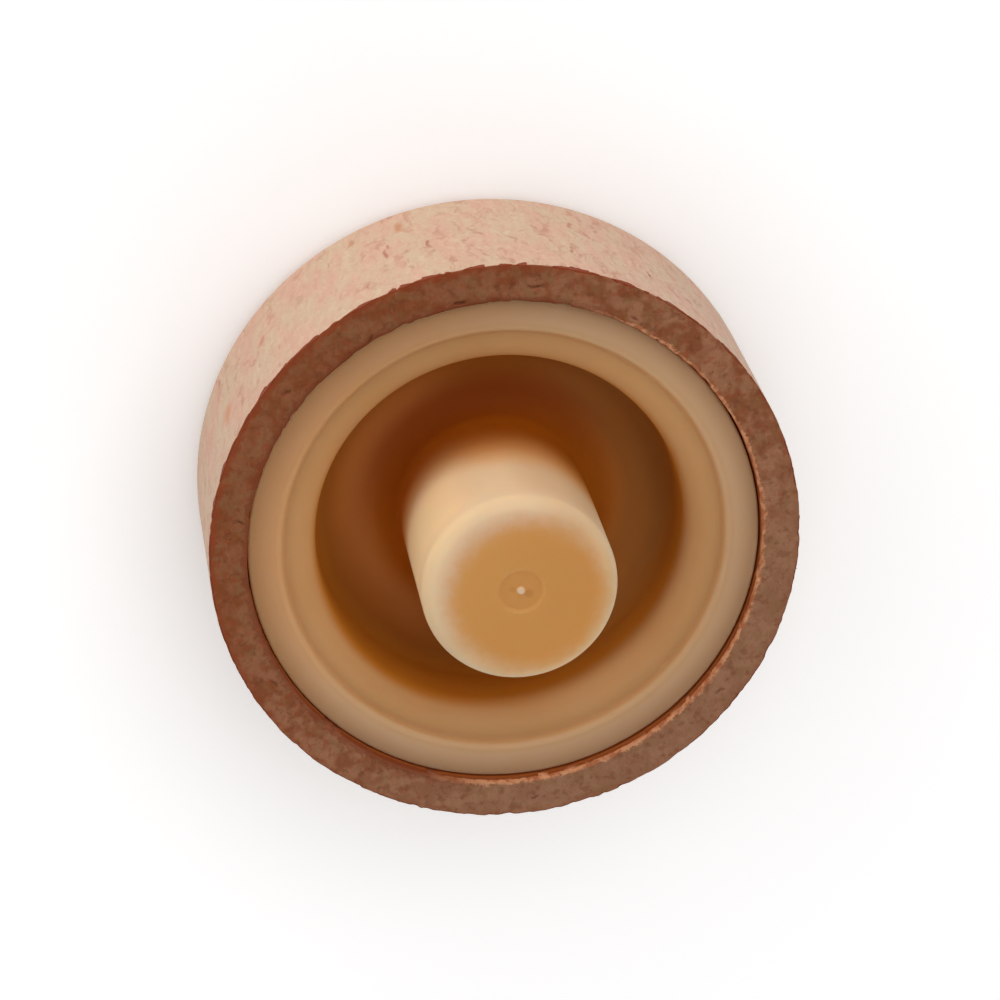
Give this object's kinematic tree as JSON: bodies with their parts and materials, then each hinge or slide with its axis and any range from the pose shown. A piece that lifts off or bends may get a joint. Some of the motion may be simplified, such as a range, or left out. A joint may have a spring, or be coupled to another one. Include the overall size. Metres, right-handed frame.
{
  "type": "t-top bottle stopper",
  "caption": "Round turned wooden stopper head with a moulded plastic insert, whose solid round shank stands out of an open annular recess and carries the bottle seal.",
  "frame": {"origin": "centre of the head's flat top, which is the lowest point because the stopper stands on its head", "axes": "+Z along the stopper's axis, from the head's flat top towards the free end of the shank"},
  "size_m": [0.04, 0.04, 0.0235],
  "materials": {
    "wood_head": "plain beech, fine sanded side and sawn rim",
    "shank_insert": "cream, slightly translucent, satin as moulded"
  },
  "bodies": {
    "root": {"wood_head": "wood_head", "shank_insert": "shank_insert"}
  },
  "joints": []
}
